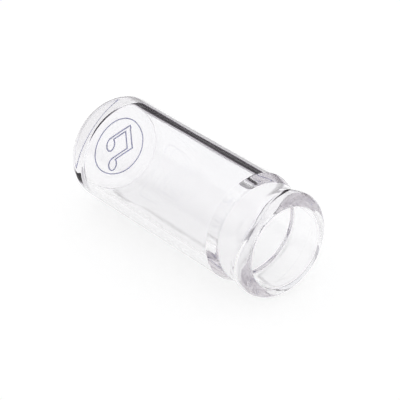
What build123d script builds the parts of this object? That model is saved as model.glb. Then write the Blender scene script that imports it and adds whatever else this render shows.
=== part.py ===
from build123d import *

import os

# A glass guitar slide of the bottle-neck kind, lying on its side. The origin is
# the centre of the closed base's outer face. X runs along the finger bore and out
# of the mouth, and Z is up. All sizes are in mm.

# Driving dimensions
LENGTH = 68.7
BODY_RADIUS = 14.0
WALL = 2.4
BASE_THICKNESS = 5.3
HEEL_RADIUS = 4.3
BASE_INNER_RADIUS = 1.5

SHOULDER_FROM_MOUTH = 12.5
SHOULDER_RADIUS = 1.0
NECK_FROM_MOUTH = 7.0
NECK_RADIUS = 12.35
NECK_GROOVE_RADIUS = 7.5

LIP_RADIUS = 13.6
LIP_WIDTH = 3.1
LIP_BACK_RADIUS = 3.0
LIP_FRONT_RADIUS = 2.4

MOUTH_RADIUS = 10.4
MOUTH_EDGE_RADIUS = 0.5
MOUTH_TAPER = 4.6
MOUTH_TAPER_RADIUS = 26.0
THROAT_RADIUS = 10.2
THROAT_FROM_MOUTH = 8.1
THROAT_EDGE_RADIUS = 5.6
THROAT_STEP = 2.0
THROAT_STEP_RADIUS = 0.75

INK_THICKNESS = 0.05
RING_LINE = 0.28
RING_RADIUS = 7.7
PRINT_OFF_CENTRE = 0.3
PRINT_TURN = 75.0

NOTE_LINE = 0.36
NOTE_HEAD_LONG = 3.9
NOTE_HEAD_SHORT = 2.8
NOTE_HEAD_TILT = 20.0
NOTE_STEM_WIDTH = 1.2
NOTE_STEM_HEIGHT = 7.2
NOTE_SPACING = 5.8
NOTE_RISE = 1.2
NOTE_BEAM_DEPTH = 2.0


def glass_body():
    """The glass turned about X, from the middle of the base out, over the lip and back inside."""
    bore_radius = BODY_RADIUS - WALL
    corners = [
        (0, BODY_RADIUS, HEEL_RADIUS),
        (LENGTH - SHOULDER_FROM_MOUTH, BODY_RADIUS, SHOULDER_RADIUS),
        (LENGTH - NECK_FROM_MOUTH, NECK_RADIUS, NECK_GROOVE_RADIUS),
        (LENGTH - LIP_WIDTH, LIP_RADIUS, LIP_BACK_RADIUS),
        (LENGTH, LIP_RADIUS, LIP_FRONT_RADIUS),
        (LENGTH, MOUTH_RADIUS, MOUTH_EDGE_RADIUS),
        (LENGTH - MOUTH_TAPER, THROAT_RADIUS, MOUTH_TAPER_RADIUS),
        (LENGTH - THROAT_FROM_MOUTH, THROAT_RADIUS, THROAT_EDGE_RADIUS),
        (LENGTH - THROAT_FROM_MOUTH - THROAT_STEP, bore_radius, THROAT_STEP_RADIUS),
        (BASE_THICKNESS, bore_radius, BASE_INNER_RADIUS),
    ]
    points = [(x, radius) for x, radius, rounding in corners]
    points = [(0, 0)] + points + [(BASE_THICKNESS, 0)]
    outline = FilletPolyline(*points, radius=[rounding for x, radius, rounding in corners])
    axis_edge = Line(points[-1], points[0])
    section = make_face([*outline.edges(), axis_edge])
    return revolve(section, Axis.X)


def on_floor(drawing):
    """Ink in the shape of a flat drawing, on the floor of the bore, that reads from outside."""
    floor_centre = (BASE_THICKNESS, 0, PRINT_OFF_CENTRE)
    floor_plane = Plane(origin=floor_centre, x_dir=(0, -1, 0), z_dir=(-1, 0, 0))
    ink = extrude(drawing, -INK_THICKNESS)
    return floor_plane.location * Rot(0, 0, PRINT_TURN) * ink


def print_ring():
    half_line = RING_LINE / 2
    return on_floor(Circle(RING_RADIUS + half_line) - Circle(RING_RADIUS - half_line))


def beamed_notes(inset):
    """The filled shape of two beamed notes, with every edge moved in by the inset."""
    stem_low = -NOTE_STEM_HEIGHT / 2
    stem_middle = NOTE_SPACING / 2
    stem_edge = stem_middle + NOTE_STEM_WIDTH / 2 - inset
    head_offset = (NOTE_HEAD_LONG - NOTE_STEM_WIDTH) / 2
    shape = Sketch()
    for x, rise in ((-stem_middle, 0), (stem_middle, NOTE_RISE)):
        head = Ellipse(NOTE_HEAD_LONG / 2 - inset, NOTE_HEAD_SHORT / 2 - inset)
        shape += Pos(x - head_offset, stem_low + rise) * Rot(0, 0, NOTE_HEAD_TILT) * head
        stem = Rectangle(NOTE_STEM_WIDTH - 2 * inset, NOTE_STEM_HEIGHT - 2 * inset)
        shape += Pos(x, rise) * stem
    beam_top = NOTE_STEM_HEIGHT / 2 - inset
    beam_low = NOTE_STEM_HEIGHT / 2 - NOTE_BEAM_DEPTH + inset
    shape += Polygon(
        (-stem_edge, beam_low),
        (stem_edge, beam_low + NOTE_RISE),
        (stem_edge, beam_top + NOTE_RISE),
        (-stem_edge, beam_top),
        align=None,
    )
    return Pos(head_offset / 2, (NOTE_HEAD_SHORT / 2 - NOTE_RISE) / 2) * shape


def print_notes():
    return on_floor(beamed_notes(0) - beamed_notes(NOTE_LINE))


parts = {
    "glass_body": glass_body(),
    "print_ring": print_ring(),
    "print_notes": print_notes(),
}

os.makedirs("parts", exist_ok=True)
for name, shape in parts.items():
    export_step(shape, f"parts/{name}.step")
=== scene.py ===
import math

import bmesh
import bpy
from mathutils import Matrix, Vector


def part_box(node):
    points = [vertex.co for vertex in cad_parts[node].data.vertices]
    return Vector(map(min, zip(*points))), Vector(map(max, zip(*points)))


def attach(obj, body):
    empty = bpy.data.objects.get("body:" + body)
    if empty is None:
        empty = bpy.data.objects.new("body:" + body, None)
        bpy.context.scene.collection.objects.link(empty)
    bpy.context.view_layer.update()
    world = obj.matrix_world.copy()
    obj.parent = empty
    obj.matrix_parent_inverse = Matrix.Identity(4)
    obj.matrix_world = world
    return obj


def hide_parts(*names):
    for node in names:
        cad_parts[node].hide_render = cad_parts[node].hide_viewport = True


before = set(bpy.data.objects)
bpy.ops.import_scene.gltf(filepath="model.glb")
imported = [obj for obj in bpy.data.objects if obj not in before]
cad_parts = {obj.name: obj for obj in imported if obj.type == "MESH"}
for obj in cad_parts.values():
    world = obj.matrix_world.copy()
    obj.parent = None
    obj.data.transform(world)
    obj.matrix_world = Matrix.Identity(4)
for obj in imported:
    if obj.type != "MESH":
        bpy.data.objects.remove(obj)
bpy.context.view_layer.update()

MM = 0.001

# Glass sizes in millimetres. The length and the body's radius come from the frame.
glass_low, glass_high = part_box("glass_body")
LENGTH = (glass_high[0] - glass_low[0]) / MM
BODY_RADIUS = (glass_high[2] - glass_low[2]) / 2 / MM
WALL = 2.4
BASE_THICKNESS = 5.3
HEEL_RADIUS = 4.3
BASE_INNER_RADIUS = 1.5
SHOULDER_FROM_MOUTH = 12.5
SHOULDER_RADIUS = 1.0
NECK_FROM_MOUTH = 7.0
NECK_RADIUS = 12.35
NECK_GROOVE_RADIUS = 7.5
LIP_RADIUS = 13.6
LIP_WIDTH = 3.1
LIP_BACK_RADIUS = 3.0
LIP_FRONT_RADIUS = 2.4
MOUTH_RADIUS = 10.4
MOUTH_EDGE_RADIUS = 0.5
MOUTH_TAPER = 4.6
MOUTH_TAPER_RADIUS = 26.0
THROAT_RADIUS = 10.2
THROAT_FROM_MOUTH = 8.1
THROAT_EDGE_RADIUS = 5.6
THROAT_STEP = 2.0
THROAT_STEP_RADIUS = 0.75
BORE_RADIUS = BODY_RADIUS - WALL
BORE_END = LENGTH - THROAT_FROM_MOUTH - THROAT_STEP
# The floor of the bore reaches this far into the print, so that the ink is bonded to the glass.
INK_BOND = 0.01

# Moulded glass isn't quite true: the bore's wall and the rolled lip wander by about this much.
BORE_WANDER = 0.008
LIP_WANDER = 0.03
# Their waves, as (share, waves round the axis, radians gained along the stretch, phase).
BORE_WAVES = [(1, 3, 2.1, 0), (0.5, 7, -5, 1), (0.35, 13, 9, 0)]
LIP_WAVES = [(1, 4, 5, 0), (0.6, 11, -8, 2), (0.4, 19, 12, 4)]
# A point this near the bore's radius is on the bore's straight wall.
ON_WALL = 0.01

# How finely the glass is divided: round the axis, along each arc and, in mm, along each straight.
SEGMENTS = 288
ARC_STEP = math.radians(4)
FEWEST_ARC_STEPS = 4
STRAIGHT_STEP = 0.7

# Glass. A noise scale is in 1/m, and a stretch below 1 draws the noise out along that axis.
GLASS_IOR = 1.5
GLASS_TINT_DEEP = (0.984, 0.983, 0.987)
GLASS_TINT_PALE = (0.994, 0.993, 0.996)
TINT_SCALE = 60
TINT_STRETCH = (0.4, 1, 1)
SMUDGE_ROUGHNESS = 0.02
SMUDGE_SCALE = 170
RIPPLE_DEPTH = 0.004 * MM
RIPPLE_SCALE = 220
RIPPLE_STRETCH = (0.12, 1, 1)
# Light fades along its way inside the glass, so edges that it runs through are darker.
GLASS_BODY_COLOUR = (0.30, 0.22, 0.28)
GLASS_DENSITY = 3.0

# Ink
INK_THIN = (0.70, 0.71, 0.95)
INK_FULL = (0.52, 0.53, 0.88)
INK_SCALE = 900
INK_ROUGHNESS_LEAST = 0.42
INK_ROUGHNESS_MOST = 0.68
DRY_SCALE = 2600
GRAIN_SCALE = 5200
GRAIN_DEPTH = 0.02 * MM
# The ink is a thin film that lets some light through.
INK_COVER = 0.5

# The camera stands this far back from the mouth, and aside and up from it without turning.
VIEW_AZIMUTH = math.radians(50.71)
VIEW_ELEVATION = math.radians(29.68)
VIEW_DISTANCE = 429.15 * MM
VIEW_RIGHT = -20.09 * MM
VIEW_UP = 11.26 * MM
LENS = 164.62
SENSOR = 36.0
CLIP_START = 0.01
CLIP_END = 20

# The table is lit through from below, so that shadows stay faint.
FLOOR_LEVEL = glass_low[2]
FLOOR_GAP = 0.02 * MM
FLOOR_MIDDLE = 0.034
FLOOR_SIZE = 0.36
FLOOR_ALBEDO = 0.16
FLOOR_ROUGHNESS = 0.7
FLOOR_SPECULAR = 0.1
FLOOR_GLOW = 0.86

# Light that reaches the glass, as (elevation in degrees, colour). A dark gap lies between the
# far edge of the table and the lit backdrop. The same gap is fainter elsewhere.
BACKDROP = [
    (-90, (0.97, 0.97, 0.98)),
    (-12, (0.97, 0.97, 0.98)),
    (-7, (0.62, 0.58, 0.66)),
    (-3, (0.10, 0.08, 0.10)),
    (0, (0.012, 0.008, 0.011)),
    (7, (0.012, 0.008, 0.011)),
    (9.5, (0.20, 0.17, 0.20)),
    (12, (0.84, 0.82, 0.86)),
    (17, (0.97, 0.97, 0.98)),
    (36, (0.93, 0.93, 0.945)),
    (90, (0.95, 0.95, 0.965)),
]
SIDES = [
    (-90, (0.96, 0.96, 0.97)),
    (-10, (0.94, 0.94, 0.95)),
    (0, (0.70, 0.69, 0.72)),
    (12, (0.80, 0.79, 0.81)),
    (30, (0.95, 0.95, 0.96)),
    (90, (0.96, 0.96, 0.97)),
]
# The backdrop stands across the camera's view, and fades out this far either side of it.
BACKDROP_MIDDLE = math.radians(50)
BACKDROP_HALF_WIDTH = math.radians(50)
BACKDROP_FADE = math.radians(14)
# How bright the empty surroundings look to the camera itself.
SURROUNDINGS_GLOW = 1.1

# The contrast of a product photograph: below 1 it deepens the dark lines in the glass.
DISPLAY_GAMMA = 0.6
# Light runs a long way inside the wall by total reflection before it leaves.
WALL_BOUNCES = 160


def glass_corners():
    """The glass's outline as corners (x, radius, rounding), from the base over the lip and back."""
    bore_floor = BASE_THICKNESS + INK_BOND
    return [
        (0, 0, 0),
        (0, BODY_RADIUS, HEEL_RADIUS),
        (LENGTH - SHOULDER_FROM_MOUTH, BODY_RADIUS, SHOULDER_RADIUS),
        (LENGTH - NECK_FROM_MOUTH, NECK_RADIUS, NECK_GROOVE_RADIUS),
        (LENGTH - LIP_WIDTH, LIP_RADIUS, LIP_BACK_RADIUS),
        (LENGTH, LIP_RADIUS, LIP_FRONT_RADIUS),
        (LENGTH, MOUTH_RADIUS, MOUTH_EDGE_RADIUS),
        (LENGTH - MOUTH_TAPER, THROAT_RADIUS, MOUTH_TAPER_RADIUS),
        (LENGTH - THROAT_FROM_MOUTH, THROAT_RADIUS, THROAT_EDGE_RADIUS),
        (BORE_END, BORE_RADIUS, THROAT_STEP_RADIUS),
        (bore_floor, BORE_RADIUS, BASE_INNER_RADIUS),
        (bore_floor, 0, 0),
    ]


def rounded_outline(corners):
    """Points along straight runs between corners (x, radius, rounding), each corner an arc."""
    stops = [Vector((x, radius)) for x, radius, rounding in corners]
    points = [stops[0]]
    for before, here, after, corner in zip(stops, stops[1:], stops[2:], corners[1:]):
        towards_before = (before - here).normalized()
        towards_after = (after - here).normalized()
        towards_centre = (towards_before + towards_after).normalized()
        half_angle = towards_before.angle(towards_after) / 2
        rounding = corner[2]
        tangent = rounding / math.tan(half_angle)
        centre = here + towards_centre * rounding / math.sin(half_angle)
        start = here + towards_before * tangent
        end = here + towards_after * tangent
        add_straight(points, start)
        turn = (start - centre).angle_signed(end - centre)
        count = max(FEWEST_ARC_STEPS, math.ceil(abs(turn) / ARC_STEP))
        for step in range(1, count + 1):
            angle = -turn * step / count
            points.append(centre + Matrix.Rotation(angle, 2) @ (start - centre))
    add_straight(points, stops[-1])
    return points


def add_straight(points, end):
    """A straight run to the end, in short steps so that the shading stays true."""
    start = points[-1]
    count = max(1, math.ceil((end - start).length / STRAIGHT_STEP))
    for step in range(1, count + 1):
        points.append(start.lerp(end, step / count))


def wave_height(waves, along, angle):
    """The sum of the waves at an angle round the axis, with along from 0 to 1 over the stretch."""
    total = 0
    for share, turns, drift, phase in waves:
        total += share * math.sin(turns * angle + drift * along + phase)
    return total


def bore_wander(point, angle):
    """How far the wall of the bore stands off its true radius here. It is 0 elsewhere."""
    on_wall = abs(point.y - BORE_RADIUS) <= ON_WALL
    if not on_wall or not BASE_THICKNESS < point.x < BORE_END:
        return 0
    along = (point.x - BASE_THICKNESS) / (BORE_END - BASE_THICKNESS)
    return BORE_WANDER * math.sin(math.pi * along) * wave_height(BORE_WAVES, along, angle)


def lip_wander(point, angle):
    """How far the rolled lip stands off its true radius here. It is 0 behind the lip."""
    along = (point.x - LENGTH + LIP_WIDTH) / LIP_WIDTH
    if along < 0:
        return 0
    return LIP_WANDER * along * along * wave_height(LIP_WAVES, along, angle)


def lathe(name, outline):
    """The outline turned about X into a closed mesh. Its first and last points are on the axis."""
    mesh = bmesh.new()
    first = mesh.verts.new((outline[0].x * MM, 0, 0))
    last = mesh.verts.new((outline[-1].x * MM, 0, 0))
    rings = []
    for point in outline[1:-1]:
        ring = []
        for k in range(SEGMENTS):
            angle = 2 * math.pi * k / SEGMENTS
            radius = point.y + bore_wander(point, angle) + lip_wander(point, angle)
            place = (point.x, radius * math.cos(angle), radius * math.sin(angle))
            ring.append(mesh.verts.new(Vector(place) * MM))
        rings.append(ring)
    for k in range(SEGMENTS):
        after = (k + 1) % SEGMENTS
        mesh.faces.new((first, rings[0][after], rings[0][k]))
        mesh.faces.new((last, rings[-1][k], rings[-1][after]))
        for ring, next_ring in zip(rings, rings[1:]):
            mesh.faces.new((ring[k], ring[after], next_ring[after], next_ring[k]))
    bmesh.ops.recalc_face_normals(mesh, faces=mesh.faces)
    for face in mesh.faces:
        face.smooth = True
    data = bpy.data.meshes.new(name)
    mesh.to_mesh(data)
    mesh.free()
    piece = bpy.data.objects.new(name, data)
    bpy.context.scene.collection.objects.link(piece)
    return piece


def noise(tree, scale, detail, stretch=(1, 1, 1)):
    """Noise over the object's own coordinates, in metres, drawn out by the stretch on each axis."""
    place = tree.nodes.new("ShaderNodeTexCoord")
    mapping = tree.nodes.new("ShaderNodeMapping")
    mapping.inputs["Scale"].default_value = stretch
    texture = tree.nodes.new("ShaderNodeTexNoise")
    texture.inputs["Scale"].default_value = scale
    texture.inputs["Detail"].default_value = detail
    tree.links.new(place.outputs["Object"], mapping.inputs["Vector"])
    tree.links.new(mapping.outputs[0], texture.inputs["Vector"])
    return texture.outputs[0]


def ramp(tree, value, stops):
    """A colour ramp with stops (position, colour)."""
    node = tree.nodes.new("ShaderNodeValToRGB")
    elements = node.color_ramp.elements
    while len(elements) > 1:
        elements.remove(elements[-1])
    for index, (position, colour) in enumerate(stops):
        element = elements[0] if index == 0 else elements.new(position)
        element.position = position
        element.color = (*colour, 1)
    tree.links.new(value, node.inputs[0])
    return node.outputs[0]


def grey(level):
    """A colour, or a plain value for a ramp, that is the same in all channels."""
    return (level, level, level)


def new_material(name):
    material = bpy.data.materials.new(name)
    material.use_nodes = True
    return material, material.node_tree, material.node_tree.nodes["Principled BSDF"]


def add_bump(tree, shader, height, distance):
    bump = tree.nodes.new("ShaderNodeBump")
    bump.inputs["Distance"].default_value = distance
    tree.links.new(height, bump.inputs["Height"])
    tree.links.new(bump.outputs[0], shader.inputs["Normal"])


def glass_material():
    """Clear soda glass, faintly violet, with drawn-out ripples and a few handling smudges."""
    material, tree, shader = new_material("clear_glass")
    shader.inputs["Transmission Weight"].default_value = 1
    shader.inputs["IOR"].default_value = GLASS_IOR
    tint_noise = noise(tree, TINT_SCALE, 2, TINT_STRETCH)
    tint = ramp(tree, tint_noise, [(0.3, GLASS_TINT_DEEP), (0.7, GLASS_TINT_PALE)])
    tree.links.new(tint, shader.inputs["Base Color"])
    smudge_noise = noise(tree, SMUDGE_SCALE, 4)
    smudge = ramp(tree, smudge_noise, [(0.60, grey(0)), (0.80, grey(SMUDGE_ROUGHNESS))])
    tree.links.new(smudge, shader.inputs["Roughness"])
    add_bump(tree, shader, noise(tree, RIPPLE_SCALE, 2, RIPPLE_STRETCH), RIPPLE_DEPTH)
    absorption = tree.nodes.new("ShaderNodeVolumeAbsorption")
    absorption.inputs["Color"].default_value = (*GLASS_BODY_COLOUR, 1)
    absorption.inputs["Density"].default_value = GLASS_DENSITY
    tree.links.new(absorption.outputs[0], tree.nodes["Material Output"].inputs["Volume"])
    return material


def ink_material():
    """Screen-print ink, lavender blue, with uneven cover and a dry grain."""
    material, tree, shader = new_material("printed_ink")
    cover = ramp(tree, noise(tree, INK_SCALE, 4), [(0.30, INK_THIN), (0.62, INK_FULL)])
    tree.links.new(cover, shader.inputs["Base Color"])
    shader.inputs["Alpha"].default_value = INK_COVER
    dryness = [(0.3, grey(INK_ROUGHNESS_LEAST)), (0.7, grey(INK_ROUGHNESS_MOST))]
    dry = ramp(tree, noise(tree, DRY_SCALE, 3), dryness)
    tree.links.new(dry, shader.inputs["Roughness"])
    add_bump(tree, shader, noise(tree, GRAIN_SCALE, 3), GRAIN_DEPTH)
    return material


def add_glass():
    glass = lathe("clear_bottle_glass", rounded_outline(glass_corners()))
    glass.data.materials.append(glass_material())
    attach(glass, "root")
    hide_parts("glass_body")


def finish_ink():
    material = ink_material()
    for node in ("print_ring", "print_notes"):
        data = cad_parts[node].data
        data.materials.clear()
        data.materials.append(material)


def add_camera():
    back = Vector((
        math.sin(VIEW_AZIMUTH) * math.cos(VIEW_ELEVATION),
        -math.cos(VIEW_AZIMUTH) * math.cos(VIEW_ELEVATION),
        math.sin(VIEW_ELEVATION),
    ))
    right = Vector((math.cos(VIEW_AZIMUTH), math.sin(VIEW_AZIMUTH), 0))
    up = back.cross(right)
    mouth = Vector((glass_high[0], 0, 0))
    data = bpy.data.cameras.new("camera")
    camera = bpy.data.objects.new("camera", data)
    bpy.context.scene.collection.objects.link(camera)
    placement = Matrix((right, up, back)).transposed().to_4x4()
    placement.translation = mouth + right * VIEW_RIGHT + up * VIEW_UP + back * VIEW_DISTANCE
    camera.matrix_world = placement
    data.sensor_width = SENSOR
    data.lens = LENS
    data.clip_start = CLIP_START
    data.clip_end = CLIP_END
    bpy.context.scene.camera = camera


def add_floor():
    place = (FLOOR_MIDDLE, 0, FLOOR_LEVEL - FLOOR_GAP)
    bpy.ops.mesh.primitive_plane_add(size=FLOOR_SIZE, location=place)
    floor = bpy.context.object
    floor.name = "floor"
    material, tree, shader = new_material("pale_floor")
    shader.inputs["Base Color"].default_value = (*grey(FLOOR_ALBEDO), 1)
    shader.inputs["Roughness"].default_value = FLOOR_ROUGHNESS
    shader.inputs["Emission Color"].default_value = (1, 1, 1, 1)
    shader.inputs["Emission Strength"].default_value = FLOOR_GLOW
    shader.inputs["Specular IOR Level"].default_value = FLOOR_SPECULAR
    floor.data.materials.append(material)


def map_range(tree, value, low, high, curve):
    """The value from low to high, mapped to 0 to 1 and held there outside."""
    node = tree.nodes.new("ShaderNodeMapRange")
    node.interpolation_type = curve
    node.inputs["From Min"].default_value = low
    node.inputs["From Max"].default_value = high
    tree.links.new(value, node.inputs["Value"])
    return node.outputs[0]


def light_by_elevation(tree, direction, stops):
    """Colour by how high the direction points, for stops (elevation in degrees, colour)."""
    split = tree.nodes.new("ShaderNodeSeparateXYZ")
    tree.links.new(direction, split.inputs[0])
    height = map_range(tree, split.outputs["Z"], -1, 1, "LINEAR")
    by_height = []
    for elevation, colour in stops:
        by_height.append(((math.sin(math.radians(elevation)) + 1) / 2, colour))
    return ramp(tree, height, by_height)


def share_of_backdrop(tree, direction):
    """1 where the direction's compass bearing meets the backdrop, fading to 0 beside it."""
    level = tree.nodes.new("ShaderNodeVectorMath")
    level.operation = "MULTIPLY"
    level.inputs[1].default_value = (1, 1, 0)
    tree.links.new(direction, level.inputs[0])
    compass = tree.nodes.new("ShaderNodeVectorMath")
    compass.operation = "NORMALIZE"
    tree.links.new(level.outputs[0], compass.inputs[0])
    facing = tree.nodes.new("ShaderNodeVectorMath")
    facing.operation = "DOT_PRODUCT"
    facing.inputs[1].default_value = (-math.sin(BACKDROP_MIDDLE), math.cos(BACKDROP_MIDDLE), 0)
    tree.links.new(compass.outputs[0], facing.inputs[0])
    outside = math.cos(BACKDROP_HALF_WIDTH + BACKDROP_FADE)
    inside = math.cos(BACKDROP_HALF_WIDTH - BACKDROP_FADE)
    return map_range(tree, facing.outputs["Value"], outside, inside, "SMOOTHSTEP")


def add_world():
    """Soft light from all round, with the dark gap behind. The camera itself sees plain white."""
    world = bpy.data.worlds.new("studio")
    bpy.context.scene.world = world
    world.use_nodes = True
    tree = world.node_tree
    nodes = tree.nodes
    link = tree.links.new
    nodes.clear()
    direction = nodes.new("ShaderNodeTexCoord").outputs["Generated"]
    mix = nodes.new("ShaderNodeMix")
    mix.data_type = "RGBA"
    link(share_of_backdrop(tree, direction), mix.inputs["Factor"])
    link(light_by_elevation(tree, direction, SIDES), mix.inputs["A"])
    link(light_by_elevation(tree, direction, BACKDROP), mix.inputs["B"])
    around = nodes.new("ShaderNodeBackground")
    link(mix.outputs["Result"], around.inputs["Color"])
    behind = nodes.new("ShaderNodeBackground")
    behind.inputs["Color"].default_value = (1, 1, 1, 1)
    behind.inputs["Strength"].default_value = SURROUNDINGS_GLOW
    path = nodes.new("ShaderNodeLightPath")
    choose = nodes.new("ShaderNodeMixShader")
    link(path.outputs["Is Camera Ray"], choose.inputs[0])
    link(around.outputs[0], choose.inputs[1])
    link(behind.outputs[0], choose.inputs[2])
    output = nodes.new("ShaderNodeOutputWorld")
    link(choose.outputs[0], output.inputs[0])


add_camera()
add_glass()
finish_ink()
add_floor()
add_world()

scene = bpy.context.scene
scene.view_settings.view_transform = "Standard"
scene.view_settings.gamma = DISPLAY_GAMMA
scene.cycles.max_bounces = WALL_BOUNCES
scene.cycles.transmission_bounces = WALL_BOUNCES
scene.cycles.glossy_bounces = WALL_BOUNCES
